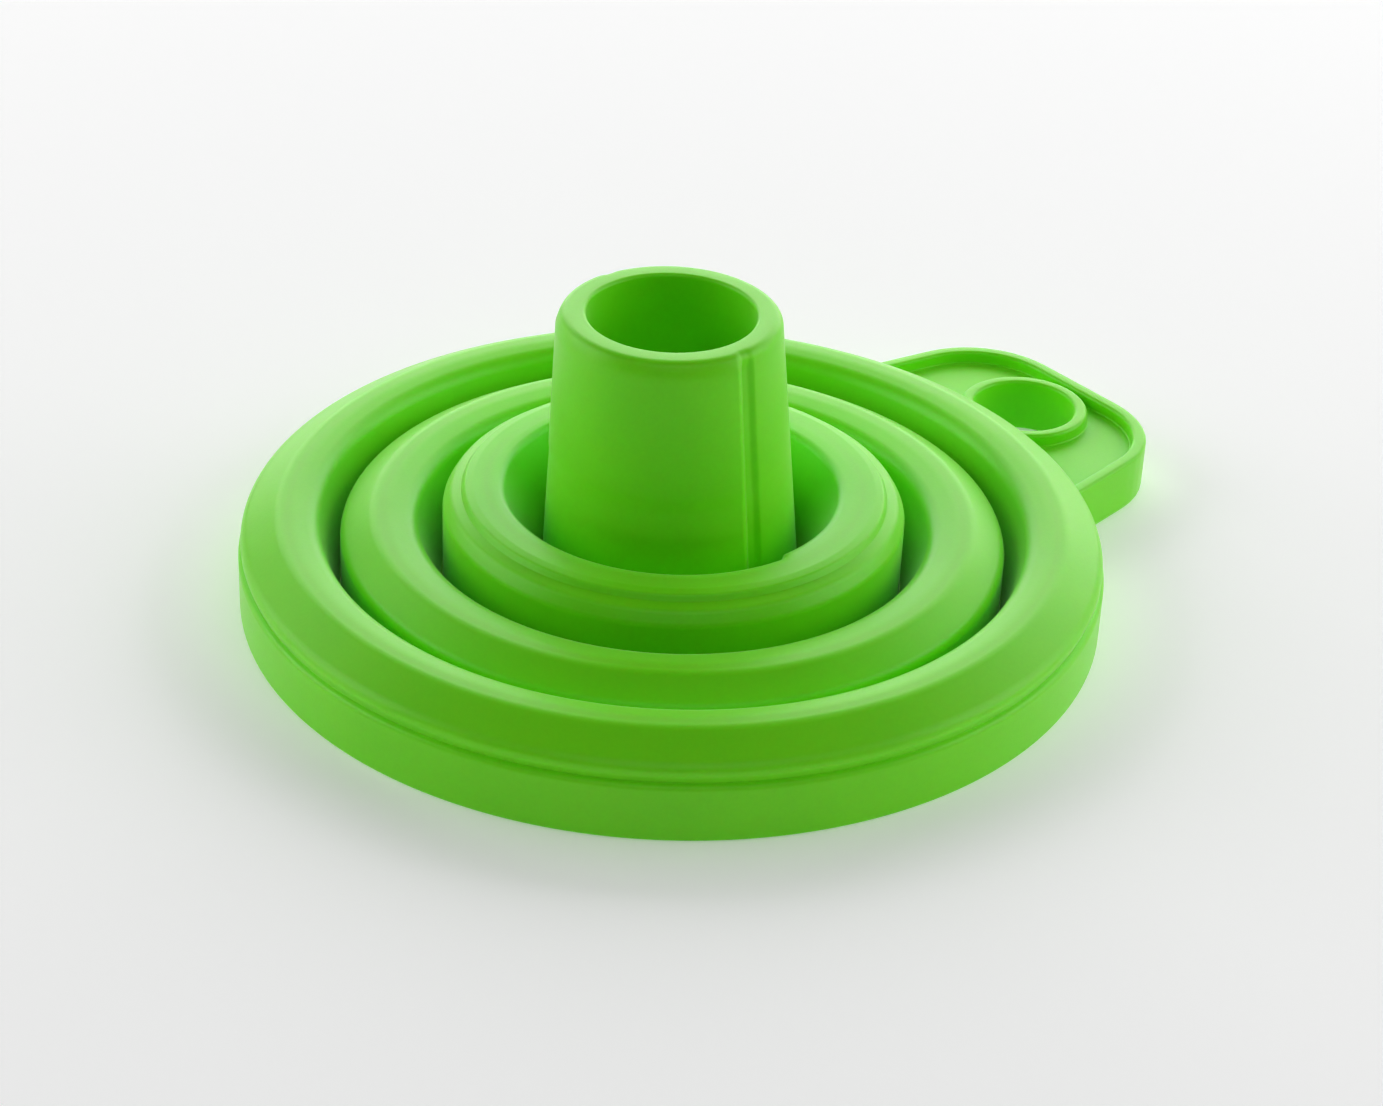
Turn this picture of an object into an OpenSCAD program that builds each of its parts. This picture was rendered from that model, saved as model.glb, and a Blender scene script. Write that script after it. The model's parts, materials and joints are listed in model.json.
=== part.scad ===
// Folding silicone funnel, shown folded flat.
// Frame: +Z up, origin on the funnel's axis in the plane that the mouth rim stands on.
// The wide mouth is below, the spout points up and the hang tab reaches out along +X.
// The whole funnel is one soft moulding. Its thick bands are separate sub-parts here,
// and so are the thin folds between them, which roll over as the funnel is pulled open.
// Diameters build up from the bore outwards, so every band nests in the one outside it.

/* [Spout] */
// Diameter of the bore
bore_d = 15.3; // [12:0.1:18.4]
// Thickness of the spout at its tip
tip_wall = 2.3; // [1.6:0.05:2.8]
// How much further out the spout's foot is than its tip
spout_flare = 1.8; // [1.2:0.05:2.4]
// Thickness of the spout at its foot
spout_foot_wall = 2.2; // [1.6:0.05:2.7]
// Height of the spout's tip above the rim plane
tip_z = 29; // [22:0.5:38]
// Height of the spout's foot above the rim plane
spout_foot_z = 3.2; // [2.6:0.1:4]
// Length of the straight bore below the tip
bore_len = 14; // [8:0.5:17]
// How far the spout's thicker half stands out, which lets air past in a bottle's neck
vent_step = 0.3; // [0.2:0.05:0.6]
// Roundness of the spout's tip
tip_round = 0.7; // [0.3:0.05:0.9]

/* [Inner band] */
// Width of the inner band's step, from its wall to the spout's foot
inner_step_w = 9.55; // [7.9:0.05:11.5]
// Height of the inner band's flat cap above the rim plane
inner_cap_z = 11.5; // [10.8:0.1:13.8]
// Height at which the inner band's wall turns in to its shoulder
inner_shoulder_z = 9.3; // [7.8:0.1:9.5]
// How far the cap is set in from the band's wall
cap_inset = 1.9; // [1.6:0.05:2.3]
// Width from the band's wall to the start of its fold
inner_crest_w = 4; // [3.4:0.1:4.6]

/* [Middle band] */
// Width of the middle band's step, from its wall to the inner band's wall
middle_step_w = 9.4; // [8:0.1:11.3]
// Height of the middle band's crest above the rim plane
middle_crest_z = 8.8; // [8:0.1:10.7]
// Width from the band's wall to its crest, where its fold starts
middle_crest_w = 3.9; // [3.6:0.1:4.7]

/* [Mouth band] */
// Width of the mouth band's step, from the lip's outside to the middle band's wall
mouth_step_w = 9.3; // [8:0.1:11.2]
// Height of the plain lip below the crease
lip_h = 5.5; // [4.6:0.1:6]
// Thickness of the lip at the mouth
lip_wall = 2.6; // [1.8:0.1:3.2]
// Depth of the crease above the lip
crease_depth = 0.4; // [0.2:0.05:0.8]
// Height of the mouth band's crest above the rim plane
mouth_crest_z = 9.1; // [8.8:0.1:10.9]
// Width from the lip's outside to the band's crest, where its fold starts
mouth_crest_w = 4.6; // [4.1:0.1:5.5]

/* [Walls and folds] */
// Thickness of a stiff band
band_wall = 2.1; // [1.6:0.1:2.6]
// Thickness of a thin fold
web = 1.0; // [0.7:0.05:1.3]
// Height of the middle and inner bands' feet above the rim plane
band_foot_z = 2.2; // [1.7:0.1:2.7]
// Width at the top of the groove round the middle band
outer_groove_w = 2.1; // [1.7:0.1:2.3]
// Width at the top of the groove round the inner band
groove_w = 2.5; // [2:0.1:3]
// Width at the top of the groove round the spout
spout_groove_w = 3.75; // [3.1:0.05:4.5]
// Width left open at the bottom of every groove
groove_gap = 0.4; // [0.3:0.05:0.6]

/* [Hang tab] */
// Thickness of the hang tab
tab_h = 5.5; // [4:0.1:6.6]
// Diameter of the hang hole
hole_d = 10.2; // [8.5:0.1:12.3]
// Width left between the lip and the hang hole
hole_land = 0.4; // [0.3:0.1:2]
// Thickness of the collar round the hang hole
collar_wall = 1.3; // [1:0.1:1.6]
// Width of the panel between the collar and the border at the tab's end
end_gap = 0.4; // [0.2:0.1:2]
// Width of the raised border round the tab
border_w = 1.4; // [1:0.1:1.7]
// Depth of the panel inside the border
panel_depth = 1.25; // [0.8:0.05:1.8]
// Width of the tab at the lip
tab_root_w = 31.5; // [28:0.5:38]
// Width of the tab at its end, measured where the two sides would meet a square end
tab_end_w = 26.4; // [22:0.1:28]
// Radius of the tab's two outer corners
tab_corner_r = 9.5; // [7:0.25:10.5]

/* [Hidden] */
$fn = 128;

ARC_STEPS = 6;          // straight pieces in each rounded corner
LEDGE_DROP = 0.35;      // fall of the two outer folds from a band's crest to the fold's edge
CREST_FLAT = 0.9;       // level width of a crest, outside the start of its fold
EDGE_ROUND = 1.7;       // roundness of the edge where an outer fold turns down into its groove
CAP_EDGE_ROUND = 1;     // the same round the spout
LIP_ROUND = 0.4;        // roundness of the mouth rim
SLEEVE_DEPTH = 0.8;     // how far the spout's thicker half reaches into the tube
REACH = 1;              // overrun of a cutting shape past the face it cuts

bore_r = bore_d / 2;
tip_r = bore_r + tip_wall;
spout_foot_r = tip_r + spout_flare;
inner_r = spout_foot_r + inner_step_w;
middle_r = inner_r + middle_step_w;
mouth_r = middle_r + mouth_step_w;

hole_r = hole_d / 2;
collar_r = hole_r + collar_wall;
hole_x = mouth_r + hole_land + hole_r;
tab_end_x = hole_x + collar_r + end_gap + border_w;

// Radius at which each band ends and its fold begins
inner_hinge_r = inner_r - inner_crest_w;
middle_hinge_r = middle_r - middle_crest_w;
mouth_hinge_r = mouth_r - mouth_crest_w;

// Radius at which each fold turns down into its groove
inner_edge_r = spout_foot_r + spout_groove_w;
middle_edge_r = inner_r + groove_w;
mouth_edge_r = middle_r + outer_groove_w;

lime = [0.36, 0.72, 0.10];
bright_lime = [0.45, 0.80, 0.18];

function unit(v) = v / norm(v);
function turn_side(u, w) = u[0] * w[1] - u[1] * w[0] < 0 ? 1 : -1;

// One corner of an outline, p, rounded by an arc of radius r that touches both its sides
function corner(before, p, after, r) =
    r == 0 ? [p] :
    let (
        u = unit(before - p),
        w = unit(after - p),
        half = acos(u * w) / 2,
        centre = p + unit(u + w) * r / sin(half),
        start = p + u * r / tan(half) - centre,
        sweep = turn_side(u, w) * (180 - 2 * half)
    )
    [for (i = [0 : ARC_STEPS])
        let (turn = sweep * i / ARC_STEPS)
        centre + [start[0] * cos(turn) - start[1] * sin(turn),
                  start[0] * sin(turn) + start[1] * cos(turn)]];

// A closed outline from corners given as [x, y, rounding radius]
function rounded(corners) =
    let (count = len(corners), at = [for (c = corners) [c[0], c[1]]])
    [for (i = [0 : count - 1])
        each corner(at[(i + count - 1) % count], at[i], at[(i + 1) % count], corners[i][2])];

module ring(corners) {
    rotate_extrude(convexity = 6) polygon(rounded(corners));
}

// A thin fold: it leaves the hinge at (hinge_r, hinge_z), turns down at edge_r and runs
// down the groove, under the next band, whose foot is foot_wall thick at (foot_r, foot_z)
module fold(hinge_r, hinge_z, edge_r, edge_z, foot_r, foot_z, foot_wall, edge_round) {
    groove_r = foot_r + groove_gap;
    ring([
        [hinge_r, hinge_z, 0],
        [edge_r, edge_z, edge_round],
        [groove_r, foot_z, 0],
        [foot_r - foot_wall, foot_z, 0],
        [foot_r - foot_wall, foot_z - web, 0],
        [groove_r + web, foot_z - web, web],
        [edge_r + web, edge_z - web, max(edge_round - web, web / 4)],
        [hinge_r, hinge_z - web, 0]
    ]);
}

// The lip, a crease above it and a sloping shoulder that rises to the level crest
module mouth_band() {
    crest_r = mouth_r - mouth_crest_w;
    color(lime)
    ring([
        [mouth_r, 0, LIP_ROUND],
        [mouth_r, lip_h - 0.1, 0.3],
        [mouth_r - crease_depth, lip_h + 0.1, 0],
        [mouth_r - 0.1, lip_h + 0.4, 0.3],
        [mouth_r - 0.5, mouth_crest_z - 1.75, 1.5],
        [crest_r + CREST_FLAT, mouth_crest_z, 1.8],
        [crest_r, mouth_crest_z, 0],
        [crest_r, mouth_crest_z - web, 0],
        [mouth_r - lip_wall, mouth_crest_z - web - 0.8, 0.6],
        [mouth_r - lip_wall, 0, LIP_ROUND]
    ]);
}

module outer_fold() {
    color(bright_lime)
    fold(mouth_hinge_r, mouth_crest_z, mouth_edge_r, mouth_crest_z - LEDGE_DROP,
         middle_r, band_foot_z, band_wall, EDGE_ROUND);
}

// An upright wall and a sloping shoulder that rises to the level crest
module middle_band() {
    color(lime)
    ring([
        [middle_r, band_foot_z, 0],
        [middle_r, middle_crest_z - 1.8, 1.2],
        [middle_hinge_r + CREST_FLAT, middle_crest_z, 1.8],
        [middle_hinge_r, middle_crest_z, 0],
        [middle_hinge_r, middle_crest_z - web, 0],
        [middle_r - band_wall, middle_crest_z - web - 0.6, 0.5],
        [middle_r - band_wall, band_foot_z, 0]
    ]);
}

module middle_fold() {
    color(bright_lime)
    fold(middle_hinge_r, middle_crest_z, middle_edge_r, middle_crest_z - LEDGE_DROP,
         inner_r, band_foot_z, band_wall, EDGE_ROUND);
}

// An upright wall with a rounded shoulder, a crease and a narrower flat cap
module inner_band() {
    cap_r = inner_r - cap_inset;
    crease_z = inner_cap_z - 0.7;
    color(lime)
    ring([
        [inner_r, band_foot_z, 0],
        [inner_r, inner_shoulder_z, 1.3],
        [inner_r - 0.7, crease_z - 0.35, 1],
        [cap_r + 0.2, crease_z, 0],
        [cap_r - 0.1, inner_cap_z - 0.15, 0.4],
        [cap_r - 0.9, inner_cap_z, 1.5],
        [inner_hinge_r, inner_cap_z, 0],
        [inner_hinge_r, inner_cap_z - web, 0],
        [inner_r - band_wall, inner_cap_z - 2.2 * web, 0.4],
        [inner_r - band_wall, band_foot_z, 0]
    ]);
}

module inner_fold() {
    color(bright_lime)
    fold(inner_hinge_r, inner_cap_z, inner_edge_r, inner_cap_z - 0.1,
         spout_foot_r, spout_foot_z, spout_foot_wall, CAP_EDGE_ROUND);
}

// The spout tapers to its tip; the half of it away from the tab stands out by vent_step
module spout() {
    sleeve_top_z = tip_z - tip_round;
    color(lime)
    union() {
        ring([
            [spout_foot_r, spout_foot_z, 0],
            [tip_r, tip_z, tip_round],
            [bore_r, tip_z, 0.3],
            [bore_r, tip_z - bore_len, 0],
            [spout_foot_r - spout_foot_wall, spout_foot_z, 0]
        ]);
        intersection() {
            ring([
                [spout_foot_r, spout_foot_z, 0],
                [spout_foot_r + vent_step - 0.1, spout_foot_z + 1.2, 0],
                [tip_r + vent_step, sleeve_top_z, 0.5],
                [tip_r - SLEEVE_DEPTH, sleeve_top_z, 0],
                [spout_foot_r - SLEEVE_DEPTH, spout_foot_z, 0]
            ]);
            translate([-mouth_r, -mouth_r, 0]) cube([mouth_r, 2 * mouth_r, tip_z]);
        }
    }
}

// The tab's outline, drawn in by inset all round its free edge
module tab_outline(inset) {
    root_x = mouth_r - lip_wall / 2;
    end_x = tab_end_x - inset;
    root_y = tab_root_w / 2 - inset;
    end_y = tab_end_w / 2 - inset;
    corner_r = tab_corner_r - inset;
    polygon(rounded([
        [root_x, -root_y, 0],
        [end_x, -end_y, corner_r],
        [end_x, end_y, corner_r],
        [root_x, root_y, 0]
    ]));
}

// A plate with a raised border and a raised collar round the hang hole
module hang_tab() {
    color(lime)
    difference() {
        union() {
            difference() {
                linear_extrude(height = tab_h) tab_outline(0);
                translate([0, 0, tab_h - panel_depth])
                    linear_extrude(height = panel_depth + REACH) tab_outline(border_w);
            }
            translate([hole_x, 0, 0]) cylinder(r = collar_r, h = tab_h);
        }
        translate([hole_x, 0, -REACH]) cylinder(r = hole_r, h = tab_h + 2 * REACH);
        translate([0, 0, -REACH]) cylinder(r = mouth_r, h = tab_h + 2 * REACH);
    }
}

mouth_band();
hang_tab();
outer_fold();
middle_band();
middle_fold();
inner_band();
inner_fold();
spout();
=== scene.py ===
import json
import math

import bmesh
import bpy
from bpy.props import FloatProperty, FloatVectorProperty, IntProperty, PointerProperty
from mathutils import Matrix, Quaternion, Vector


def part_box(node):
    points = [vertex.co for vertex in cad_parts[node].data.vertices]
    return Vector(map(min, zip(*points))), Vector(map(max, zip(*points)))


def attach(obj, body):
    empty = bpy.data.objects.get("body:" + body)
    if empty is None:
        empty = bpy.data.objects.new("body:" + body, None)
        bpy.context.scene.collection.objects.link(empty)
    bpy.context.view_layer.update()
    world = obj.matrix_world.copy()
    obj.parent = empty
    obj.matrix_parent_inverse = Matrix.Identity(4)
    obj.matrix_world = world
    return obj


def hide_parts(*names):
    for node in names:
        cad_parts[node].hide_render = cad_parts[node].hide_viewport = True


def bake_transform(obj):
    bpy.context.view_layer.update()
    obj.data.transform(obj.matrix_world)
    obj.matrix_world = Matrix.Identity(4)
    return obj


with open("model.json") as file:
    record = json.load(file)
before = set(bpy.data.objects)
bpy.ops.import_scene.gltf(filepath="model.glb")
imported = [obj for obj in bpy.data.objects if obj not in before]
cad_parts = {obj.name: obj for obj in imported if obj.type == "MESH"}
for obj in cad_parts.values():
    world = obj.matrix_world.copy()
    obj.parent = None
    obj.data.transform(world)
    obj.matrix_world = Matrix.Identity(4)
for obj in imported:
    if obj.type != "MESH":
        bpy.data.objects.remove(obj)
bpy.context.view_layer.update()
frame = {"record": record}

bl_info = {
    "name": "Folding Silicone Funnel",
    "version": (1, 0, 0),
    "blender": (4, 5, 0),
    "location": "View3D > Sidebar > Funnel",
    "description": "A folding silicone funnel with three bands, three folds, a spout and a hang tab",
    "category": "Add Mesh",
}

MM = 0.001
LOW, HIGH = 0, 1


def cad_edge(node, side, axis):
    """One face of a CAD node's box, in metres."""
    return getattr(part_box(node)[side], axis)


def cad_mount(name):
    """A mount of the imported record."""
    return next(m for m in frame["record"]["mounts"] if m["name"] == name)


# ---------------------------------------------------------------- sizes and colours

class FUNNEL_PG_bands(bpy.types.PropertyGroup):
    """The three stiff bands, from the mouth inwards"""

    segments: IntProperty(
        name="Segments", description="Faces round each ring", default=240, min=48, max=512)
    lip_height: FloatProperty(
        name="Lip height", description="Height of the plain lip below its crease",
        default=5.5 * MM, unit="LENGTH")
    lip_wall: FloatProperty(
        name="Lip wall", description="Thickness of the lip at the mouth", default=2.6 * MM, unit="LENGTH")
    crease_depth: FloatProperty(
        name="Crease depth", description="Depth of the crease above the lip",
        default=0.55 * MM, unit="LENGTH")
    crest_flat: FloatProperty(
        name="Crest flat", description="Level width of a crest, outside the start of its fold",
        default=0.9 * MM, unit="LENGTH")
    band_wall: FloatProperty(
        name="Band wall", description="Thickness of a stiff band", default=2.1 * MM, unit="LENGTH")
    cap_inset: FloatProperty(
        name="Cap inset", description="How far the inner band's cap is set in from its wall",
        default=1.9 * MM, unit="LENGTH")
    cap_height: FloatProperty(
        name="Cap height", description="Height of the inner band's cap above its crease",
        default=0.7 * MM, unit="LENGTH")


class FUNNEL_PG_folds(bpy.types.PropertyGroup):
    """The thin folds that roll over as the funnel is pulled open"""

    web: FloatProperty(
        name="Web", description="Thickness of a fold", default=1.0 * MM, unit="LENGTH")
    outer_groove_width: FloatProperty(
        name="Outer groove width", description="Width at the top of the groove round the middle band",
        default=2.1 * MM, unit="LENGTH")
    groove_width: FloatProperty(
        name="Groove width", description="Width at the top of the groove round the inner band",
        default=2.5 * MM, unit="LENGTH")
    spout_groove_width: FloatProperty(
        name="Spout groove width", description="Width at the top of the groove round the spout",
        default=3.75 * MM, unit="LENGTH")
    groove_gap: FloatProperty(
        name="Groove gap", description="Width left open at the bottom of a groove",
        default=0.12 * MM, unit="LENGTH")
    ledge_drop: FloatProperty(
        name="Ledge drop", description="Fall of the two outer folds from a crest to their edge",
        default=0.35 * MM, unit="LENGTH")
    edge_round: FloatProperty(
        name="Edge round", description="Roundness where an outer fold turns down into its groove",
        default=1.7 * MM, unit="LENGTH")
    cap_edge_round: FloatProperty(
        name="Cap edge round", description="The same roundness at the groove round the spout",
        default=1.0 * MM, unit="LENGTH")
    hole_step: FloatProperty(
        name="Hole step", description="How far the hole's edge steps out on the half away from the tab",
        default=0.6 * MM, unit="LENGTH")


class FUNNEL_PG_spout(bpy.types.PropertyGroup):
    """The spout, with its vent channels"""

    foot_wall: FloatProperty(
        name="Foot wall", description="Thickness of the spout at its foot", default=2.2 * MM, unit="LENGTH")
    tip_wall: FloatProperty(
        name="Tip wall", description="Thickness of the spout at its tip", default=2.3 * MM, unit="LENGTH")
    tip_round: FloatProperty(
        name="Tip round", description="Roundness of the tip's outer edge", default=0.9 * MM, unit="LENGTH")
    vent_step: FloatProperty(
        name="Vent step", description="How far the thicker half stands out",
        default=0.35 * MM, unit="LENGTH")
    vent_depth: FloatProperty(
        name="Vent depth", description="Depth of the channel beside the thicker half",
        default=0.35 * MM, unit="LENGTH")
    vent_width: FloatProperty(
        name="Vent width", description="Width of that channel", default=1.6 * MM, unit="LENGTH")
    lean: FloatProperty(
        name="Lean", description="How far the soft tip leans from the axis", default=0.9 * MM, unit="LENGTH")
    lean_turn: FloatProperty(
        name="Lean direction", description="Turn of the lean about the axis",
        default=math.radians(139.6), unit="ROTATION")


class FUNNEL_PG_tab(bpy.types.PropertyGroup):
    """The hang tab"""

    root_width: FloatProperty(
        name="Root width", description="Width of the tab at the lip", default=31.5 * MM, unit="LENGTH")
    end_width: FloatProperty(
        name="End width", description="Width where the two sides would meet a square end",
        default=26.4 * MM, unit="LENGTH")
    corner_radius: FloatProperty(
        name="Corner radius", description="Radius of the two outer corners", default=9.5 * MM, unit="LENGTH")
    border: FloatProperty(
        name="Border", description="Width of the raised border", default=1.4 * MM, unit="LENGTH")
    panel_depth: FloatProperty(
        name="Panel depth", description="Depth of the panel inside the border",
        default=1.25 * MM, unit="LENGTH")
    collar_wall: FloatProperty(
        name="Collar wall", description="Thickness of the collar round the hole",
        default=1.3 * MM, unit="LENGTH")
    edge_round: FloatProperty(
        name="Edge round", description="Roundness of the border's and collar's edges",
        default=0.38 * MM, unit="LENGTH")
    foot_round: FloatProperty(
        name="Foot round", description="Roundness of the tab's lower edge", default=0.7 * MM, unit="LENGTH")
    rays: IntProperty(
        name="Rays", description="Rows of faces round the hang hole", default=288, min=48, max=720)


class FUNNEL_PG_silicone(bpy.types.PropertyGroup):
    """The moulded silicone"""

    lime: FloatVectorProperty(
        name="Lime", description="Colour of the pigmented silicone", subtype="COLOR",
        size=3, default=(0.24, 0.85, 0.004), min=0, max=1)
    lime_deep: FloatVectorProperty(
        name="Deep lime", description="Colour where the pigment is a little denser", subtype="COLOR",
        size=3, default=(0.21, 0.81, 0.003), min=0, max=1)
    grain_size: FloatProperty(
        name="Grain size", description="Size of the mould's blasted grain", default=0.22 * MM, unit="LENGTH")
    grain_height: FloatProperty(
        name="Grain height", description="Height of that grain", default=0.012 * MM, unit="LENGTH")
    swirl_size: FloatProperty(
        name="Swirl size", description="Size of the pigment's soft clouds", default=9 * MM, unit="LENGTH")
    roughness: FloatProperty(
        name="Roughness", description="Roughness of the satin surface", default=0.42,
        min=0, max=1, subtype="FACTOR")
    refraction: FloatProperty(
        name="Refraction", description="Refractive index of silicone", default=1.41, min=1, max=2)
    gloss: FloatProperty(
        name="Gloss", description="Strength of the surface reflection", default=0.75,
        min=0, max=1, subtype="FACTOR")
    bloom: FloatProperty(
        name="Bloom", description="Powdery sheen at glancing angles", default=0.25,
        min=0, max=1, subtype="FACTOR")
    scatter: FloatProperty(
        name="Scatter", description="How far light spreads below the surface",
        default=0.45 * MM, unit="LENGTH")
    translucency: FloatProperty(
        name="Translucency", description="Share of the light that spreads below the surface", default=0.5,
        min=0, max=1, subtype="FACTOR")


class FUNNEL_PG_stage(bpy.types.PropertyGroup):
    """Floor, lamps and camera"""

    floor_size: FloatProperty(
        name="Floor size", description="Half the width of the floor", default=3, unit="LENGTH")
    floor_colour: FloatVectorProperty(
        name="Floor colour", description="Colour of the floor", subtype="COLOR", size=3,
        default=(0.93, 0.93, 0.93), min=0, max=1)
    floor_glow: FloatProperty(
        name="Floor glow", description="Light that comes up through the floor", default=0.15, min=0)
    room_low: FloatProperty(
        name="Room light, low", description="Brightness of the room near the horizon", default=0.8, min=0)
    room_high: FloatProperty(
        name="Room light, high", description="Brightness of the room overhead", default=0.36, min=0)
    key_power: FloatProperty(
        name="Key power", description="Power of the large lamp behind", default=8.5, min=0, unit="POWER")
    side_power: FloatProperty(
        name="Side power", description="Power of each side lamp", default=2.0, min=0, unit="POWER")
    fill_power: FloatProperty(
        name="Fill power", description="Power of the lamp in front", default=1.1, min=0, unit="POWER")
    lens: FloatProperty(name="Lens", description="Focal length in millimetres", default=82.33, min=1)
    turn: FloatProperty(
        name="Camera turn", description="Turn of the camera about the axis",
        default=math.radians(-40.4), unit="ROTATION")
    rise: FloatProperty(
        name="Camera rise", description="Height of the camera above the horizon",
        default=math.radians(30.943), unit="ROTATION")
    roll: FloatProperty(
        name="Camera roll", description="Roll of the camera", default=math.radians(2.553), unit="ROTATION")
    distance: FloatProperty(
        name="Camera distance", description="From the camera to its aim",
        default=294.586 * MM, unit="LENGTH")
    aim_aside: FloatProperty(
        name="Aim aside", description="How far to the right of the axis the camera aims",
        default=1.816 * MM, unit="LENGTH")
    aim_height: FloatProperty(
        name="Aim height", description="Height that the camera aims at", default=4.065 * MM, unit="LENGTH")


class FUNNEL_PG_settings(bpy.types.PropertyGroup):
    """Everything about the funnel that can be changed"""

    bands: PointerProperty(type=FUNNEL_PG_bands)
    folds: PointerProperty(type=FUNNEL_PG_folds)
    spout: PointerProperty(type=FUNNEL_PG_spout)
    tab: PointerProperty(type=FUNNEL_PG_tab)
    silicone: PointerProperty(type=FUNNEL_PG_silicone)
    stage: PointerProperty(type=FUNNEL_PG_stage)


# ---------------------------------------------------------------- outlines

ARC_STEPS = 10            # pieces in each rounded corner
LONGEST_FACE = 0.6 * MM   # straight stretches of an outline are cut to at most this
SHARP_ANGLE = math.radians(38)


def cross(a, b):
    """Signed area of two plane vectors."""
    return a.x * b.y - a.y * b.x


def corner_arc(before, at, after, radius):
    """The corner at `at`, rounded by an arc that touches both of its sides."""
    if radius == 0:
        return [at]
    to_before = (before - at).normalized()
    to_after = (after - at).normalized()
    half = to_before.angle(to_after) / 2
    centre = at + (to_before + to_after).normalized() * radius / math.sin(half)
    start = at + to_before * radius / math.tan(half) - centre
    side = 1 if cross(to_before, to_after) < 0 else -1
    sweep = side * (math.pi - 2 * half)
    return [centre + Matrix.Rotation(sweep * i / ARC_STEPS, 2) @ start for i in range(ARC_STEPS + 1)]


def rounded(corners, closed=True):
    """An outline from corners given as (across, up, rounding radius)."""
    at = [Vector(c[:2]) for c in corners]
    last = len(at) - 1
    outline = []
    for i, (_, _, radius) in enumerate(corners):
        if not closed and i in (0, last):
            outline.append(at[i])
        else:
            outline += corner_arc(at[i - 1], at[i], at[(i + 1) % len(at)], radius)
    return outline


def cut_up(outline, closed=True):
    """The outline with its long straight stretches cut into shorter ones."""
    points = []
    ends = outline[1:] + outline[:1] if closed else outline[1:]
    for a, b in zip(outline, ends):
        parts = max(1, math.ceil((b - a).length / LONGEST_FACE))
        points += [a.lerp(b, i / parts) for i in range(parts)]
    return points if closed else points + [outline[-1]]


def smoothstep(low, high, x):
    """0 below low, 1 above high, and smooth between them."""
    t = min(1, max(0, (x - low) / (high - low)))
    return t * t * (3 - 2 * t)


# ---------------------------------------------------------------- meshes

def finish_mesh(bm, name):
    """A smooth-shaded object from a bmesh, with its real corners kept sharp."""
    bm.normal_update()
    for face in bm.faces:
        face.smooth = True
    for edge in bm.edges:
        edge.smooth = edge.is_manifold and edge.calc_face_angle(0) < SHARP_ANGLE
    mesh = bpy.data.meshes.new(name)
    bm.to_mesh(mesh)
    bm.free()
    piece = bpy.data.objects.new(name, mesh)
    bpy.context.collection.objects.link(piece)
    return piece


def weight_normals(piece):
    """Lets the broad faces set the shading, so that flats stay flat beside their rounded edges."""
    weighted = piece.modifiers.new("Weighted Normal", "WEIGHTED_NORMAL")
    weighted.keep_sharp = True


def turned(name, outline, turns, closed=True, reshape=None):
    """A ring turned about the funnel's axis from an outline of (radius, height) points.

    The outline runs up the outside and in over the top, so that its faces look outwards.
    """
    bm = bmesh.new()
    rows = []
    for turn in turns:
        row = []
        for point in outline:
            radius, height = point
            aside = Vector((0, 0))
            if reshape:
                radius, height, aside = reshape(radius, height, turn)
            row.append(bm.verts.new((
                radius * math.cos(turn) + aside.x, radius * math.sin(turn) + aside.y, height)))
        rows.append(row)
    count = len(outline)
    for row, after in zip(rows, rows[1:] + rows[:1]):
        for i in range(count if closed else count - 1):
            j = (i + 1) % count
            bm.faces.new((row[i], after[i], after[j], row[j]))
    return finish_mesh(bm, name)


def even_turns(segments):
    """Equal steps all the way round."""
    return [math.tau * i / segments for i in range(segments)]


def dress(piece, material, node):
    """Gives a finished piece its material and hides the CAD node that it stands for."""
    piece.data.materials.append(material)
    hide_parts(node)


# ---------------------------------------------------------------- materials

LIGHT_SPREAD = (0.22, 1.0, 0.06)   # how far red, green and blue spread, as shares of the scatter
SHEEN_ROUGHNESS = 0.4
GRAIN_STRENGTH = 0.6
ROUGHNESS_SPREAD = 0.05            # how far the grain moves the roughness either way


def add_socket(tree, name, way, kind, value=None):
    """One named input or output on a node group."""
    socket = tree.interface.new_socket(name=name, in_out=way, socket_type=kind)
    if value is not None:
        socket.default_value = value


def add_noise(tree, detail, roughness):
    """A noise texture in a node tree, with its scale left to a link."""
    noise = tree.nodes.new("ShaderNodeTexNoise")
    noise.inputs["Detail"].default_value = detail
    noise.inputs["Roughness"].default_value = roughness
    return noise


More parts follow.
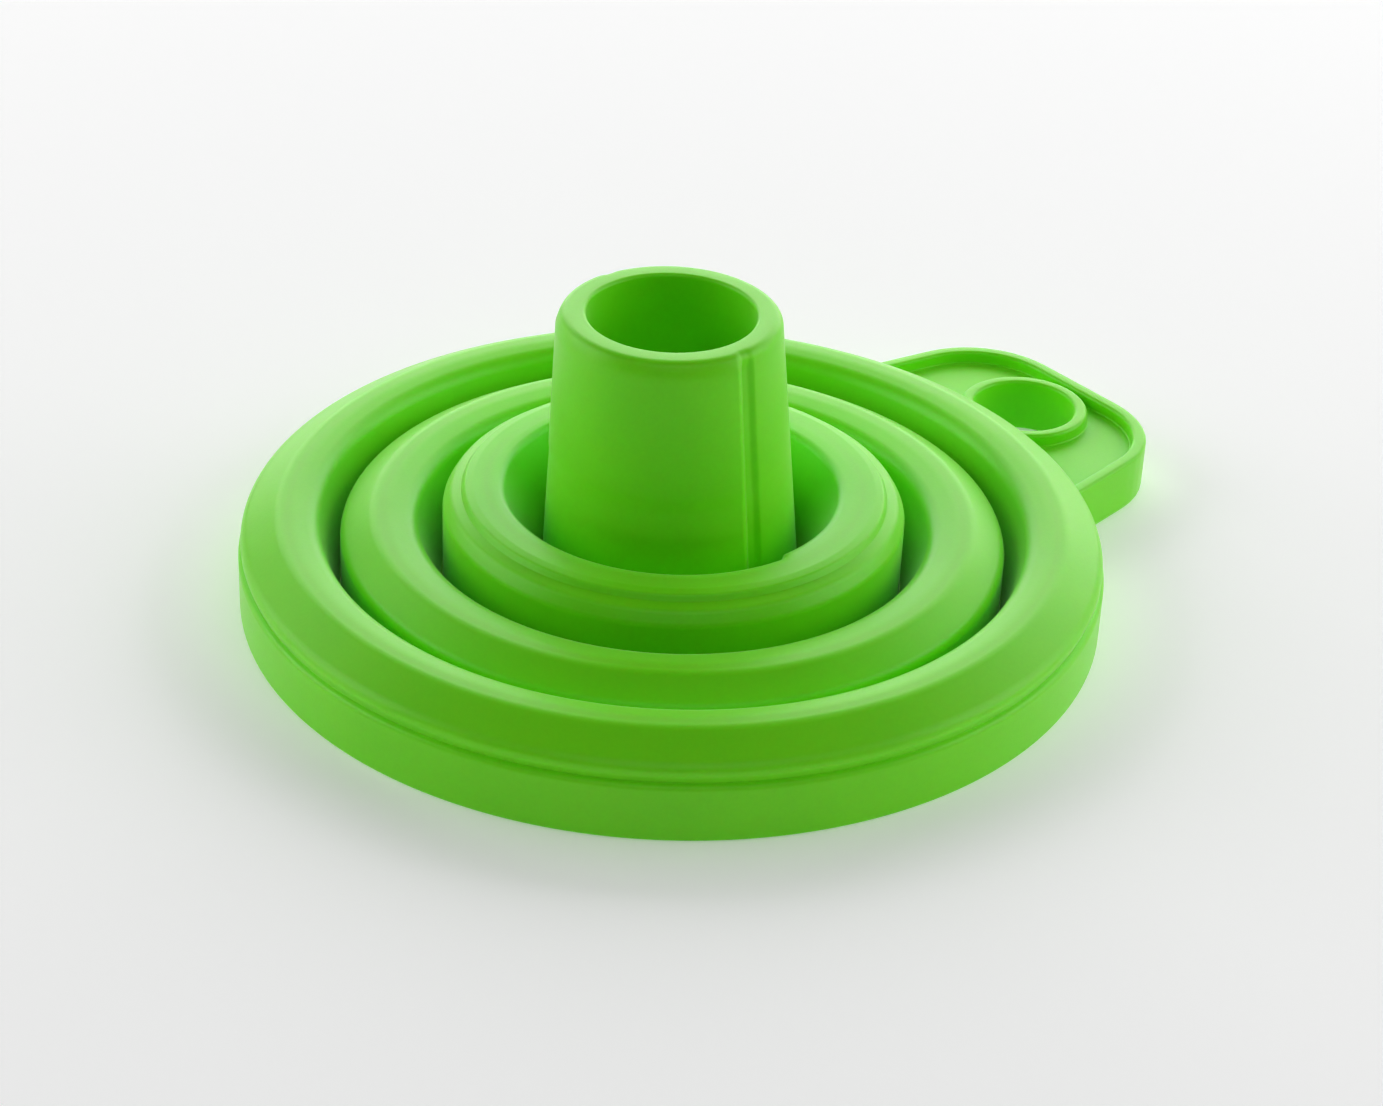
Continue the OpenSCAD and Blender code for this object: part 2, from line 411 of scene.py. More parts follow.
def blasted_grain_group():
    """Node group: the height of the fine grain that a blasted mould leaves on silicone."""
    name = "Blasted Grain"
    if name in bpy.data.node_groups:
        return bpy.data.node_groups[name]
    tree = bpy.data.node_groups.new(name, "ShaderNodeTree")
    add_socket(tree, "Position", "INPUT", "NodeSocketVector")
    add_socket(tree, "Grain Scale", "INPUT", "NodeSocketFloat", 4500.0)
    add_socket(tree, "Waviness", "INPUT", "NodeSocketFloat", 0.35)
    add_socket(tree, "Height", "OUTPUT", "NodeSocketFloat")
    ends = tree.nodes.new("NodeGroupInput")
    out = tree.nodes.new("NodeGroupOutput")
    grain = add_noise(tree, 3.0, 0.6)
    waves = add_noise(tree, 1.0, 0.5)
    coarse = tree.nodes.new("ShaderNodeMath")
    coarse.operation = "MULTIPLY"
    coarse.inputs[1].default_value = 0.08
    share = tree.nodes.new("ShaderNodeMath")
    share.operation = "MULTIPLY"
    total = tree.nodes.new("ShaderNodeMath")
    total.operation = "ADD"
    link = tree.links.new
    link(ends.outputs["Position"], grain.inputs["Vector"])
    link(ends.outputs["Grain Scale"], grain.inputs["Scale"])
    link(ends.outputs["Position"], waves.inputs["Vector"])
    link(ends.outputs["Grain Scale"], coarse.inputs[0])
    link(coarse.outputs[0], waves.inputs["Scale"])
    link(waves.outputs["Fac"], share.inputs[0])
    link(ends.outputs["Waviness"], share.inputs[1])
    link(grain.outputs["Fac"], total.inputs[0])
    link(share.outputs[0], total.inputs[1])
    link(total.outputs[0], out.inputs["Height"])
    return tree


def pigment_group():
    """Node group: silicone colour with soft clouds of denser pigment and fine specks."""
    name = "Pigment Clouds"
    if name in bpy.data.node_groups:
        return bpy.data.node_groups[name]
    tree = bpy.data.node_groups.new(name, "ShaderNodeTree")
    add_socket(tree, "Position", "INPUT", "NodeSocketVector")
    add_socket(tree, "Colour", "INPUT", "NodeSocketColor", (0.2, 0.6, 0.02, 1))
    add_socket(tree, "Deep Colour", "INPUT", "NodeSocketColor", (0.1, 0.5, 0.01, 1))
    add_socket(tree, "Cloud Scale", "INPUT", "NodeSocketFloat", 110.0)
    add_socket(tree, "Speck Scale", "INPUT", "NodeSocketFloat", 2600.0)
    add_socket(tree, "Specks", "INPUT", "NodeSocketFloat", 0.35)
    add_socket(tree, "Colour", "OUTPUT", "NodeSocketColor")
    ends = tree.nodes.new("NodeGroupInput")
    out = tree.nodes.new("NodeGroupOutput")
    clouds = add_noise(tree, 2.0, 0.5)
    specks = add_noise(tree, 2.0, 0.7)
    amount = tree.nodes.new("ShaderNodeMix")
    amount.data_type = "FLOAT"
    contrast = tree.nodes.new("ShaderNodeMapRange")
    contrast.inputs["From Min"].default_value = 0.3
    contrast.inputs["From Max"].default_value = 0.7
    blend = tree.nodes.new("ShaderNodeMix")
    blend.data_type = "RGBA"
    link = tree.links.new
    link(ends.outputs["Position"], clouds.inputs["Vector"])
    link(ends.outputs["Cloud Scale"], clouds.inputs["Scale"])
    link(ends.outputs["Position"], specks.inputs["Vector"])
    link(ends.outputs["Speck Scale"], specks.inputs["Scale"])
    link(ends.outputs["Specks"], amount.inputs["Factor"])
    link(clouds.outputs["Fac"], amount.inputs["A"])
    link(specks.outputs["Fac"], amount.inputs["B"])
    link(amount.outputs["Result"], contrast.inputs["Value"])
    link(contrast.outputs["Result"], blend.inputs["Factor"])
    link(ends.outputs["Colour"], blend.inputs["A"])
    link(ends.outputs["Deep Colour"], blend.inputs["B"])
    link(blend.outputs["Result"], out.inputs["Colour"])
    return tree


def silicone(name, grain=1.0):
    """Satin silicone; grain scales the height of its surface texture."""
    if name in bpy.data.materials:
        return bpy.data.materials[name]
    look = bpy.context.scene.funnel.silicone
    material = bpy.data.materials.new(name)
    material.use_nodes = True
    nodes, link = material.node_tree.nodes, material.node_tree.links.new
    surface = nodes["Principled BSDF"]
    surface.inputs["IOR"].default_value = look.refraction
    surface.inputs["Subsurface Weight"].default_value = look.translucency
    surface.inputs["Subsurface Radius"].default_value = LIGHT_SPREAD
    surface.inputs["Subsurface Scale"].default_value = look.scatter
    surface.inputs["Specular IOR Level"].default_value = look.gloss
    surface.inputs["Sheen Weight"].default_value = look.bloom
    surface.inputs["Sheen Roughness"].default_value = SHEEN_ROUGHNESS
    position = nodes.new("ShaderNodeTexCoord")

    pigment = nodes.new("ShaderNodeGroup")
    pigment.node_tree = pigment_group()
    pigment.inputs["Colour"].default_value = (*look.lime, 1)
    pigment.inputs["Deep Colour"].default_value = (*look.lime_deep, 1)
    pigment.inputs["Cloud Scale"].default_value = 1 / look.swirl_size
    link(position.outputs["Object"], pigment.inputs["Position"])
    link(pigment.outputs["Colour"], surface.inputs["Base Color"])

    texture = nodes.new("ShaderNodeGroup")
    texture.node_tree = blasted_grain_group()
    texture.inputs["Grain Scale"].default_value = 1 / look.grain_size
    link(position.outputs["Object"], texture.inputs["Position"])
    bump = nodes.new("ShaderNodeBump")
    bump.inputs["Strength"].default_value = GRAIN_STRENGTH
    bump.inputs["Distance"].default_value = look.grain_height * grain
    link(texture.outputs["Height"], bump.inputs["Height"])
    link(bump.outputs["Normal"], surface.inputs["Normal"])

    polish = nodes.new("ShaderNodeMapRange")
    polish.inputs["From Min"].default_value = 0.35
    polish.inputs["From Max"].default_value = 1.0
    polish.inputs["To Min"].default_value = look.roughness - ROUGHNESS_SPREAD
    polish.inputs["To Max"].default_value = look.roughness + ROUGHNESS_SPREAD
    link(texture.outputs["Height"], polish.inputs["Value"])
    link(polish.outputs["Result"], surface.inputs["Roughness"])
    return material


def floor_material(colour, glow):
    """A matt floor, lit a little from below, that is clear when seen from underneath."""
    material = bpy.data.materials.new("Pale Floor")
    material.use_nodes = True
    nodes, link = material.node_tree.nodes, material.node_tree.links.new
    matt = nodes["Principled BSDF"]
    matt.inputs["Base Color"].default_value = (*colour, 1)
    matt.inputs["Roughness"].default_value = 0.9
    matt.inputs["Specular IOR Level"].default_value = 0.1
    matt.inputs["Emission Color"].default_value = (1, 1, 1, 1)
    matt.inputs["Emission Strength"].default_value = glow
    clear = nodes.new("ShaderNodeBsdfTransparent")
    side = nodes.new("ShaderNodeNewGeometry")
    either = nodes.new("ShaderNodeMixShader")
    link(side.outputs["Backfacing"], either.inputs["Fac"])
    link(matt.outputs["BSDF"], either.inputs[1])
    link(clear.outputs["BSDF"], either.inputs[2])
    link(either.outputs["Shader"], nodes["Material Output"].inputs["Surface"])
    return material


# ---------------------------------------------------------------- bands

EDGE_ROUND = 0.35 * MM       # the lip's lower edges and the mouth of the bore
LIP_TOP_ROUND = 0.55 * MM    # top edge of the lip, at its crease
CREASE_HALF = 0.1 * MM       # half the height of the crease's first slope
CREASE_ROUND = 0.05 * MM     # the bottom of the crease
CREST_ROUND = 1.8 * MM       # where a sloping shoulder meets its level crest
MIDDLE_SHOULDER = 1.8 * MM   # height of the middle band's shoulder


class Layout:
    """Radii and heights that the bands and the folds share, from the frame and the settings."""

    def __init__(self, settings):
        folds = settings.folds
        self.mouth_r = cad_edge("mouth_band", HIGH, "x")
        self.middle_r = cad_edge("middle_band", HIGH, "x")
        self.inner_r = cad_edge("inner_band", HIGH, "x")
        self.foot_r = cad_edge("spout", HIGH, "x")
        self.mouth_hinge_r = cad_edge("outer_fold", HIGH, "x")
        self.middle_hinge_r = cad_edge("middle_fold", HIGH, "x")
        self.inner_hinge_r = cad_edge("inner_fold", HIGH, "x")
        self.mouth_edge_r = self.middle_r + folds.outer_groove_width
        self.middle_edge_r = self.inner_r + folds.groove_width
        self.inner_edge_r = self.foot_r + folds.spout_groove_width
        self.mouth_crest_z = cad_edge("mouth_band", HIGH, "z")
        self.middle_crest_z = cad_edge("middle_band", HIGH, "z")
        self.cap_z = cad_edge("inner_band", HIGH, "z")
        self.band_foot_z = cad_edge("middle_band", LOW, "z")
        self.spout_foot_z = cad_edge("spout", LOW, "z")


def mouth_band_outline(at, bands, web):
    """Plain lip, a crease and a sloping shoulder that rises to the level crest."""
    lip_inside = at.mouth_r - bands.lip_wall
    return rounded([
        (at.mouth_r, 0, EDGE_ROUND),
        (at.mouth_r, bands.lip_height - CREASE_HALF, LIP_TOP_ROUND),
        (at.mouth_r - bands.crease_depth, bands.lip_height + CREASE_HALF, CREASE_ROUND),
        (at.mouth_r - 0.15 * MM, bands.lip_height + 1.2 * MM, 0.9 * MM),
        (at.mouth_r - 0.6 * MM, at.mouth_crest_z - 1.7 * MM, 1.5 * MM),
        (at.mouth_hinge_r + bands.crest_flat, at.mouth_crest_z, CREST_ROUND),
        (at.mouth_hinge_r, at.mouth_crest_z, 0),
        (at.mouth_hinge_r, at.mouth_crest_z - web, 0),
        (lip_inside, at.mouth_crest_z - web - 0.8 * MM, 0.6 * MM),
        (lip_inside, 0, EDGE_ROUND),
    ])


def middle_band_outline(at, bands, web):
    """An upright wall and a sloping shoulder that rises to the level crest."""
    inside = at.middle_r - bands.band_wall
    return rounded([
        (at.middle_r, at.band_foot_z, 0),
        (at.middle_r, at.middle_crest_z - MIDDLE_SHOULDER, 1.2 * MM),
        (at.middle_hinge_r + bands.crest_flat, at.middle_crest_z, CREST_ROUND),
        (at.middle_hinge_r, at.middle_crest_z, 0),
        (at.middle_hinge_r, at.middle_crest_z - web, 0),
        (inside, at.middle_crest_z - web - 0.6 * MM, 0.5 * MM),
        (inside, at.band_foot_z, 0),
    ])


def inner_band_outline(at, bands, web):
    """An upright wall with a rounded shoulder, a crease and a narrower flat cap."""
    inside = at.inner_r - bands.band_wall
    cap_r = at.inner_r - bands.cap_inset
    crease_z = at.cap_z - bands.cap_height
    return rounded([
        (at.inner_r, at.band_foot_z, 0),
        (at.inner_r, crease_z - 1.5 * MM, 1.3 * MM),
        (at.inner_r - 0.7 * MM, crease_z - 0.35 * MM, 1 * MM),
        (cap_r + 0.2 * MM, crease_z, 0.12 * MM),
        (cap_r - 0.1 * MM, at.cap_z - 0.15 * MM, 0.4 * MM),
        (cap_r - 0.9 * MM, at.cap_z, 1.5 * MM),
        (at.inner_hinge_r, at.cap_z, 0),
        (at.inner_hinge_r, at.cap_z - web, 0),
        (inside, at.cap_z - 2.2 * web, 0.4 * MM),
        (inside, at.band_foot_z, 0),
    ])


class FUNNEL_OT_bands(bpy.types.Operator):
    """Add the mouth, middle and inner bands"""

    bl_idname = "funnel.add_bands"
    bl_label = "Bands"

    def execute(self, context):
        settings = context.scene.funnel
        at = Layout(settings)
        material = silicone("Lime Silicone Band")
        turns = even_turns(settings.bands.segments)
        makers = {
            "mouth": ("lipped_mouth_band", mouth_band_outline),
            "middle": ("stepped_middle_band", middle_band_outline),
            "inner": ("capped_inner_band", inner_band_outline),
        }
        for body, (name, outline) in makers.items():
            points = cut_up(outline(at, settings.bands, settings.folds.web))
            piece = turned(name, points, turns)
            weight_normals(piece)
            dress(piece, material, body + "_band")
            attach(piece, body)
        return {"FINISHED"}


# ---------------------------------------------------------------- folds

LEVEL_RUN = 0.6 * MM          # how far a fold runs level, in from its hinge
FALL_ROUND = 5 * MM           # the soft bend where it starts to fall to its edge
FOOT_ROUND = 0.05 * MM        # where it meets the next band's foot
CAP_FALL = 0.1 * MM           # fall of the spout's fold from the cap to its edge
HOLE_STEP_SLOPE = 0.03        # share of a turn's cosine over which the hole's edge steps
STEP_BEFORE_EDGE = 0.2 * MM   # the step is whole this far outside the hole's edge
STEP_FADE = 2 * MM            # and fades out over this much beside the spout's foot


def fold_path(crest, edge, edge_round, foot, folds):
    """The side of a fold that shows: in from the crest, down the groove and under the next band's foot.

    foot is the next band's (outer radius, inner radius, height) at its foot.
    """
    crest_r, crest_z = crest
    foot_r, foot_inside, foot_z = foot
    return cut_up(rounded([
        (crest_r, crest_z, 0),
        (crest_r - LEVEL_RUN, crest_z, FALL_ROUND),
        (*edge, edge_round),
        (foot_r + folds.groove_gap, foot_z, FOOT_ROUND),
        (foot_inside, foot_z, 0),
    ], closed=False), closed=False)


def away_from_tab(turn):
    """1 on the half of the funnel away from the tab, 0 on the tab's half, over a short slope."""
    return smoothstep(-HOLE_STEP_SLOPE, HOLE_STEP_SLOPE, -math.cos(turn))


class FUNNEL_OT_folds(bpy.types.Operator):
    """Add the three thin folds between the bands"""

    bl_idname = "funnel.add_folds"
    bl_label = "Folds"

    def execute(self, context):
        settings = context.scene.funnel
        bands, folds, spout = settings.bands, settings.folds, settings.spout
        at = Layout(settings)
        material = silicone("Lime Silicone Fold", grain=0.8)
        turns = even_turns(bands.segments)

        def stepped_hole(radius, height, turn):
            """The groove round the spout is wider on the half away from the tab."""
            over_edge = smoothstep(at.inner_hinge_r, at.inner_edge_r - STEP_BEFORE_EDGE, radius)
            clear_of_foot = smoothstep(at.foot_r, at.foot_r + STEP_FADE, radius)
            shift = folds.hole_step * (away_from_tab(turn) - 0.5)
            return radius + shift * over_edge * clear_of_foot, height, Vector((0, 0))

        makers = [
            ("outer_rolling_fold", "outer_fold", "mouth", "middle",
             (at.mouth_hinge_r, at.mouth_crest_z),
             (at.mouth_edge_r, at.mouth_crest_z - folds.ledge_drop), folds.edge_round,
             (at.middle_r, at.middle_r - bands.band_wall, at.band_foot_z), None),
            ("middle_rolling_fold", "middle_fold", "middle", "inner",
             (at.middle_hinge_r, at.middle_crest_z),
             (at.middle_edge_r, at.middle_crest_z - folds.ledge_drop), folds.edge_round,
             (at.inner_r, at.inner_r - bands.band_wall, at.band_foot_z), None),
            ("spout_rolling_fold", "inner_fold", "inner", "tip",
             (at.inner_hinge_r, at.cap_z),
             (at.inner_edge_r, at.cap_z - CAP_FALL), folds.cap_edge_round,
             (at.foot_r, at.foot_r - spout.foot_wall, at.spout_foot_z), stepped_hole),
        ]
        for name, node, fixed, moving, crest, edge, edge_round, foot, reshape in makers:
            path = fold_path(crest, edge, edge_round, foot, folds)
            piece = turned(name, path, turns, closed=False, reshape=reshape)
            skin = piece.modifiers.new("Web", "SOLIDIFY")
            skin.thickness = folds.web
            skin.offset = -1
            skin.use_even_offset = True
            weight_normals(piece)
            dress(piece, material, node)
            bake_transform(piece)
        return {"FINISHED"}


# ---------------------------------------------------------------- spout

VENT_STEPS = 36                       # faces across each vent channel
VENT_REACH = 1.3                      # half the width of those faces, in channel widths
VENT_OFFSET = 0.2                     # how far the thick half's edge stands back, in channel widths
VENT_FLOOR = 0.6                      # where the channel starts to rise again, in channel widths
THICK_EDGE = (-0.5 * MM, 0.2 * MM)    # the slope at the thick half's edge
CHANNEL_SIDE = (-0.05 * MM, 0.35 * MM)    # the slope down into the channel
RIM_FADE = (1.4 * MM, 0.5 * MM)       # below the tip, where the channels fade out


def vent_profile(along, spout):
    """How far the spout stands out, by the distance along it from the plane between its halves.

    The thicker half ends in a rounded edge, with a shallow channel beside it.
    """
    past_edge = along + VENT_OFFSET * spout.vent_width
    thick = spout.vent_step * (1 - smoothstep(*THICK_EDGE, past_edge))
    into = smoothstep(*CHANNEL_SIDE, past_edge)
    out = smoothstep(VENT_FLOOR * spout.vent_width, spout.vent_width, past_edge)
    return thick - spout.vent_depth * (into - out)


def spout_turns(segments, radius, spout):
    """Even steps all round, and finer ones across the two vent channels."""
    reach = VENT_REACH * spout.vent_width / radius
    turns = {round(t, 9) for t in even_turns(segments // 2)}
    for line in (math.pi / 2, 3 * math.pi / 2):
        turns = {t for t in turns if abs(t - line) > reach}
        turns |= {round(line - reach + 2 * reach * i / VENT_STEPS, 9) for i in range(VENT_STEPS + 1)}
    return sorted(turns)


class FUNNEL_OT_spout(bpy.types.Operator):
    """Add the spout"""

    bl_idname = "funnel.add_spout"
    bl_label = "Spout"

    def execute(self, context):
        settings = context.scene.funnel
        spout = settings.spout
        at = Layout(settings)
        tip_z = cad_edge("spout", HIGH, "z")
        bore = cad_mount("spout_bore")["dims"]
        bore_r = bore["r_mm"] * MM
        tip_r = bore_r + spout.tip_wall
        bore_end_z = tip_z - bore["length_mm"] * MM
        outline = cut_up(rounded([
            (at.foot_r, at.spout_foot_z, 0),
            (tip_r, tip_z, spout.tip_round),
            (bore_r, tip_z, EDGE_ROUND),
            (bore_r, bore_end_z, 0),
            (at.foot_r - spout.foot_wall, at.spout_foot_z, 0),
        ]))
        lean_way = Vector((math.cos(spout.lean_turn), math.sin(spout.lean_turn)))

        def shape(radius, height, turn):
            """Vent channels down both sides, fading at the rim, and the lean."""
            from_line = math.asin(max(-1, min(1, math.cos(turn)))) * tip_r
            inside = at.foot_r - spout.foot_wall if height < bore_end_z else bore_r
            outward = smoothstep(inside, inside + 0.9 * spout.tip_wall, radius)
            below_rim = 1 - 0.7 * smoothstep(tip_z - RIM_FADE[0], tip_z - RIM_FADE[1], height)
            rise = max(0, (height - at.spout_foot_z) / (tip_z - at.spout_foot_z))
            stand = vent_profile(from_line, spout) * outward * below_rim
            return radius + stand, height, lean_way * spout.lean * rise

        turns = spout_turns(settings.bands.segments, tip_r, spout)
        piece = turned("vented_spout", outline, turns, reshape=shape)
        weight_normals(piece)
        dress(piece, silicone("Lime Silicone Spout"), "spout")
        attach(piece, "tip")
        return {"FINISHED"}


# ---------------------------------------------------------------- hang tab

OUTLINE_REACH = 12 * MM     # how far the tab's sides run on into the lip, so that every ray meets them
QUARTER_STEPS = 5           # pieces in each quarter round
HOLE_FOOT_ROUND = 0.4 * MM  # the hole's lower edge
PANEL_FILLET = 0.2 * MM     # where the border and the collar rise from the panel
WELD = 0.002 * MM           # stations closer than this become one
PARALLEL = 1e-12
END_SLACK = 1e-9


def tab_outline(tab, inset, root_x, end_x):
    """The tab's free edge, drawn in by inset, from one root to the other."""
    root_y = tab.root_width / 2 - inset
    end_y = tab.end_width / 2 - inset
    taper = (root_y - end_y) / (end_x - root_x)
    back_x = root_x - OUTLINE_REACH
    back_y = root_y + taper * OUTLINE_REACH
    tip_x = end_x - inset
    tip_y = end_y + taper * inset
    radius = tab.corner_radius - inset
    return rounded([
        (back_x, -back_y, 0), (tip_x, -tip_y, radius), (tip_x, tip_y, radius), (back_x, back_y, 0),
    ], closed=False)


def ray_length(origin, way, outline):
    """Distance from origin, along the unit vector way, to an open outline, or None."""
    for a, b in zip(outline, outline[1:]):
        side = b - a
        down = cross(way, side)
        if abs(down) < PARALLEL:
            continue
        to_a = a - origin
        length = cross(to_a, side) / down
        share = cross(to_a, way) / down
        if length > 0 and -END_SLACK <= share <= 1 + END_SLACK:
            return length
    return None


def circle_length(origin, way, radius):
    """Distance from a point outside a circle about the axis to it, along way, or None."""
    towards = -origin.dot(way)
    square = towards * towards - origin.length_squared + radius * radius
    if square < 0 or towards < 0:
        return None
    return towards - math.sqrt(square)


def quarter(radius):
    """Offsets (across, up) round a quarter circle, from fully across to fully up."""
    angles = [math.radians(90 * i / QUARTER_STEPS) for i in range(QUARTER_STEPS + 1)]
    return [(radius * math.cos(a), radius * math.sin(a)) for a in angles]


def collar_stations(tab, hole_r, top_z, panel_z):
    """(distance from the hole's centre, height) from the hole's lower edge over the collar."""
    rim, foot = tab.edge_round, HOLE_FOOT_ROUND
    collar_r = hole_r + tab.collar_wall
    fillet = PANEL_FILLET
    stations = [(hole_r + foot - x, foot - y) for x, y in reversed(quarter(foot))]
    stations += [(hole_r, top_z * share) for share in (0.25, 0.5, 0.75)]
    stations += [(hole_r + rim - x, top_z - rim + y) for x, y in quarter(rim)]
    stations += [(collar_r - rim + x, top_z - rim + y) for x, y in reversed(quarter(rim))]
    stations += [(collar_r + fillet - x, panel_z + fillet - y) for x, y in quarter(fillet)]
    return stations


def border_stations(tab, top_z, panel_z):
    """(distance in from the free edge, height) from the panel over the border and down outside."""
    rim, foot, fillet = tab.edge_round, tab.foot_round, PANEL_FILLET
    stations = [(tab.border + fillet - x, panel_z + fillet - y) for x, y in reversed(quarter(fillet))]
    stations += [(tab.border - rim + x, top_z - rim + y) for x, y in quarter(rim)]
    stations += [(rim - x, top_z - rim + y) for x, y in reversed(quarter(rim))]
    stations += [(0, foot + (top_z - rim - foot) * share) for share in (0.66, 0.33)]
    stations += [(foot - x, foot - y) for x, y in quarter(foot)]
    return stations


class FUNNEL_OT_tab(bpy.types.Operator):
    """Add the hang tab: a recessed panel inside a raised border, with a collar round its hole"""

    bl_idname = "funnel.add_tab"
    bl_label = "Hang Tab"

    def execute(self, context):
        settings = context.scene.funnel
        tab = settings.tab
        hole = cad_mount("hang_hole")
        centre = Vector(hole["pos_m"][:2])
        hole_r = hole["dims"]["r_mm"] * MM
        mouth_r = cad_edge("mouth_band", HIGH, "x")
        root_x = mouth_r - settings.bands.lip_wall / 2
        end_x = cad_edge("hang_tab", HIGH, "x")
        top_z = cad_edge("hang_tab", HIGH, "z")
        panel_z = top_z - tab.panel_depth
        collar = collar_stations(tab, hole_r, top_z, panel_z)
        border = border_stations(tab, top_z, panel_z)
        outlines = {inset: tab_outline(tab, inset, root_x, end_x) for inset, _ in border}
        on_top = 3 * (QUARTER_STEPS + 1) - 1
        heights = sorted(border[:on_top], reverse=True)

        def surface_z(inset):
            """Height of the tab's top at a distance in from its free edge."""
            for (outer, outer_z), (inner, inner_z) in zip(heights[1:], heights):
                if outer <= inset <= inner:
                    share = (inset - outer) / max(inner - outer, 1e-9)
                    return outer_z + (inner_z - outer_z) * share
            return panel_z

        bm = bmesh.new()
        rows = []
        for ray in range(tab.rays):
            turn = math.tau * (ray + 0.5) / tab.rays
            way = Vector((math.cos(turn), math.sin(turn)))
            reach = circle_length(centre, way, root_x) or math.inf
            stations = [(min(distance, reach), height) for distance, height in collar]
            for inset, height in border:
                free = ray_length(centre, way, outlines[inset]) or math.inf
                if free < reach:
                    stations.append((free, height))
                    continue
                edge = ray_length(centre, way, outlines[0]) or math.inf
                depth = edge - reach
                stations.append((reach, min(height, surface_z(depth))))
            rows.append([bm.verts.new((*(centre + way * d), z)) for d, z in stations])
        count = len(rows[0])
        for row, after in zip(rows, rows[1:] + rows[:1]):
            for i in range(count):
                j = (i + 1) % count
                bm.faces.new((row[j], after[j], after[i], row[i]))
        bmesh.ops.remove_doubles(bm, verts=bm.verts, dist=WELD)
        bmesh.ops.recalc_face_normals(bm, faces=bm.faces)
        piece = finish_mesh(bm, "bordered_hang_tab")
        weight_normals(piece)
        dress(piece, silicone("Lime Silicone Tab"), "hang_tab")
        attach(piece, "mouth")
        return {"FINISHED"}


# ---------------------------------------------------------------- stage

ROOM_FADE = (0.3, 0.95)    # the room dims between these heights; 0 is the horizon and 1 is overhead
LAMP_AIM = (0, 0, 0.01)

# (name, turn and rise in degrees, distance, width, height, the setting that holds its power)
LAMPS = (
    ("Back Soft Box", 176, 24, 1.0, 1.5, 0.8, "key_power"),
    ("Left Soft Box", -98, 24, 0.7, 0.7, 0.5, "side_power"),
    ("Right Soft Box", 98, 24, 0.7, 0.7, 0.5, "side_power"),
    ("Front Soft Box", 8, 50, 0.9, 0.9, 0.6, "fill_power"),
)


def add_floor(stage):
    """A wide flat floor under the mouth rim."""
    bm = bmesh.new()
    bmesh.ops.create_grid(bm, x_segments=8, y_segments=8, size=stage.floor_size)
    floor = finish_mesh(bm, "pale_floor")
    floor.data.materials.append(floor_material(stage.floor_colour, stage.floor_glow))


def light_room(scene, stage):
    """Soft light from all round, dimmer overhead."""
    world = bpy.data.worlds.new("Soft Room")
    scene.world = world
    world.use_nodes = True
    nodes, link = world.node_tree.nodes, world.node_tree.links.new
    way = nodes.new("ShaderNodeTexCoord")
    parts = nodes.new("ShaderNodeSeparateXYZ")
    fade = nodes.new("ShaderNodeMapRange")
    fade.interpolation_type = "SMOOTHSTEP"
    fade.inputs["From Min"].default_value = ROOM_FADE[0]
    fade.inputs["From Max"].default_value = ROOM_FADE[1]
    fade.inputs["To Min"].default_value = stage.room_low
    fade.inputs["To Max"].default_value = stage.room_high
    link(way.outputs["Generated"], parts.inputs["Vector"])
    link(parts.outputs["Z"], fade.inputs["Value"])
    link(fade.outputs["Result"], nodes["Background"].inputs["Strength"])


def add_lamp(name, place, width, height, power):
    """A soft box that faces the funnel."""
    lamp = bpy.data.lights.new(name, "AREA")
    lamp.shape = "RECTANGLE"
    lamp.size = width
    lamp.size_y = height
    lamp.energy = power
    holder = bpy.data.objects.new(name, lamp)
    holder.location = place
    holder.rotation_mode = "QUATERNION"
    holder.rotation_quaternion = (Vector(LAMP_AIM) - place).to_track_quat("-Z", "Y")
    bpy.context.collection.objects.link(holder)


def round_the_stage(stage, turn, rise, distance):
    """A place round the funnel: turn is from the camera, in degrees anticlockwise from above."""
    angle = stage.turn + math.radians(turn)
    flat = math.cos(math.radians(rise)) * distance
    return Vector((math.sin(angle) * flat, -math.cos(angle) * flat,
                   math.sin(math.radians(rise)) * distance))


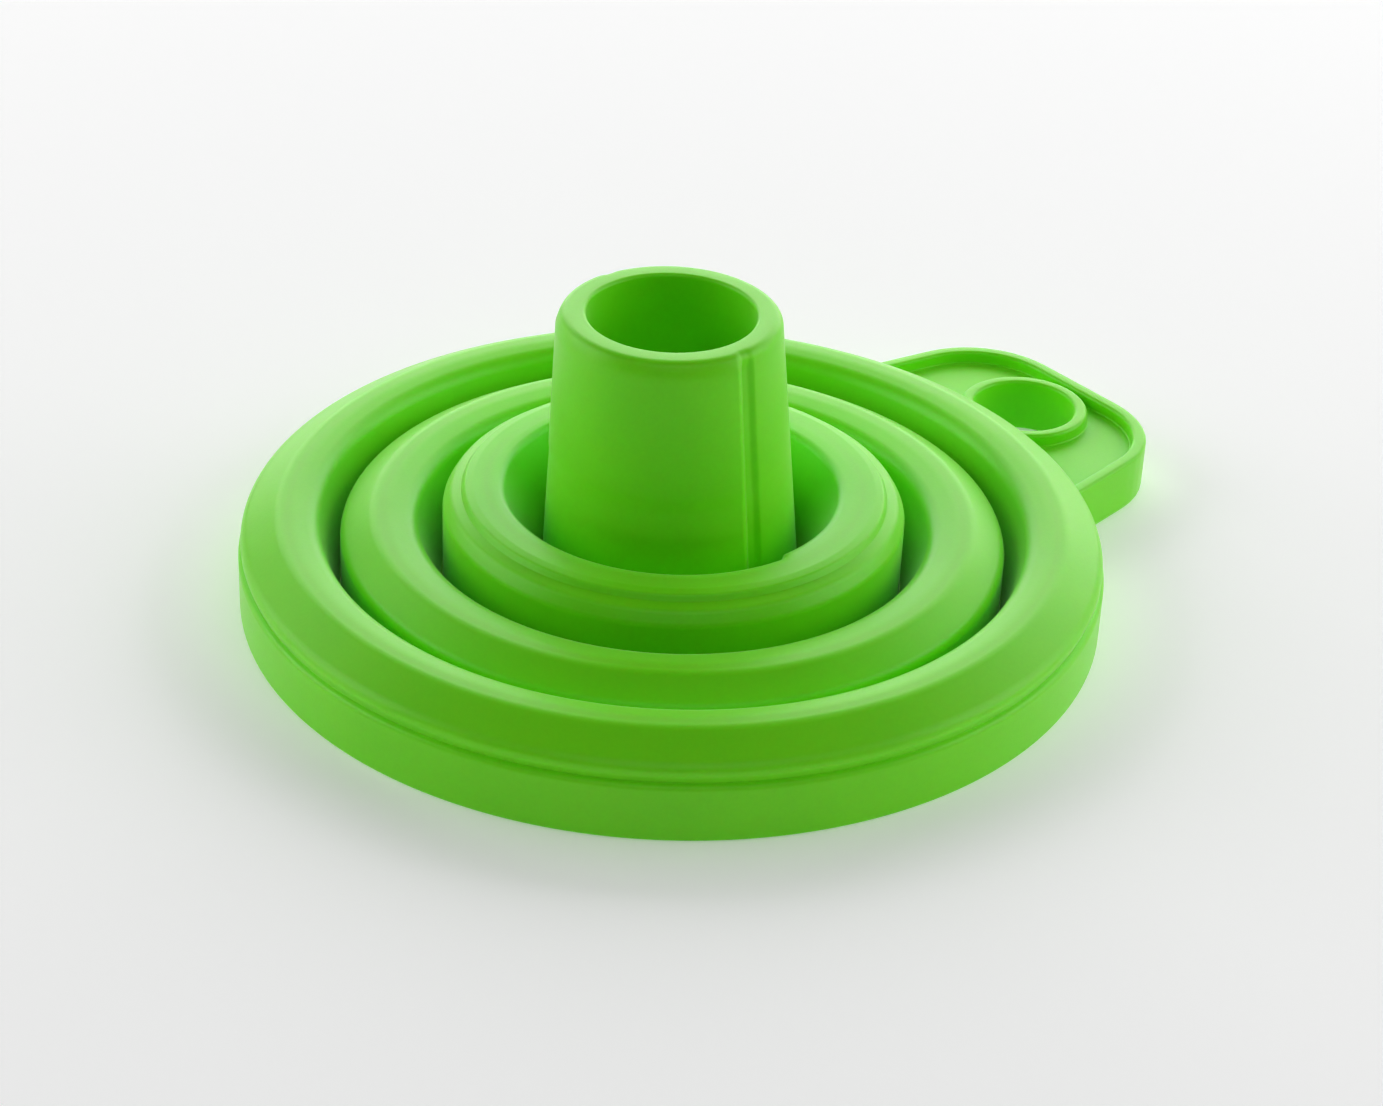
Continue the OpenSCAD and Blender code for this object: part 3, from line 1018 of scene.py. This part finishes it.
def add_camera(scene, stage):
    """The camera, in front of the spout with the tab behind to the right."""
    turn, rise = stage.turn, stage.rise
    back = Vector((math.sin(turn) * math.cos(rise), -math.cos(turn) * math.cos(rise), math.sin(rise)))
    right = Vector((math.cos(turn), math.sin(turn), 0))
    aim = right * stage.aim_aside + Vector((0, 0, stage.aim_height))
    lens = bpy.data.cameras.new("Camera")
    lens.lens = stage.lens
    lens.clip_start = 0.01
    lens.clip_end = 100
    camera = bpy.data.objects.new("Camera", lens)
    camera.location = aim + back * stage.distance
    camera.rotation_mode = "QUATERNION"
    camera.rotation_quaternion = (-back).to_track_quat("-Z", "Y") @ Quaternion((0, 0, 1), stage.roll)
    bpy.context.collection.objects.link(camera)
    scene.camera = camera


class FUNNEL_OT_stage(bpy.types.Operator):
    """Add the floor, the soft light and the camera"""

    bl_idname = "funnel.add_stage"
    bl_label = "Stage"

    def execute(self, context):
        scene = context.scene
        stage = scene.funnel.stage
        scene.view_settings.view_transform = "Standard"
        scene.view_settings.look = "Medium High Contrast"
        add_floor(stage)
        light_room(scene, stage)
        for name, turn, rise, distance, width, height, power in LAMPS:
            place = round_the_stage(stage, turn, rise, distance)
            add_lamp(name, place, width, height, getattr(stage, power))
        add_camera(scene, stage)
        return {"FINISHED"}


# ---------------------------------------------------------------- panel and running order

OPERATORS = (FUNNEL_OT_stage, FUNNEL_OT_bands, FUNNEL_OT_folds, FUNNEL_OT_spout, FUNNEL_OT_tab)


class FUNNEL_PT_panel(bpy.types.Panel):
    """Buttons for the funnel's pieces"""

    bl_label = "Folding Funnel"
    bl_idname = "FUNNEL_PT_panel"
    bl_space_type = "VIEW_3D"
    bl_region_type = "UI"
    bl_category = "Funnel"

    def draw(self, context):
        column = self.layout.column()
        for operator in OPERATORS:
            column.operator(operator.bl_idname)


CLASSES = (
    FUNNEL_PG_bands, FUNNEL_PG_folds, FUNNEL_PG_spout, FUNNEL_PG_tab, FUNNEL_PG_silicone,
    FUNNEL_PG_stage, FUNNEL_PG_settings, *OPERATORS, FUNNEL_PT_panel,
)


def register():
    for cls in CLASSES:
        bpy.utils.register_class(cls)
    bpy.types.Scene.funnel = PointerProperty(type=FUNNEL_PG_settings)


def unregister():
    del bpy.types.Scene.funnel
    for cls in reversed(CLASSES):
        bpy.utils.unregister_class(cls)


def main():
    register()
    bpy.ops.funnel.add_stage()
    bpy.ops.funnel.add_bands()
    bpy.ops.funnel.add_folds()
    bpy.ops.funnel.add_spout()
    bpy.ops.funnel.add_tab()


if __name__ == "__main__":
    main()
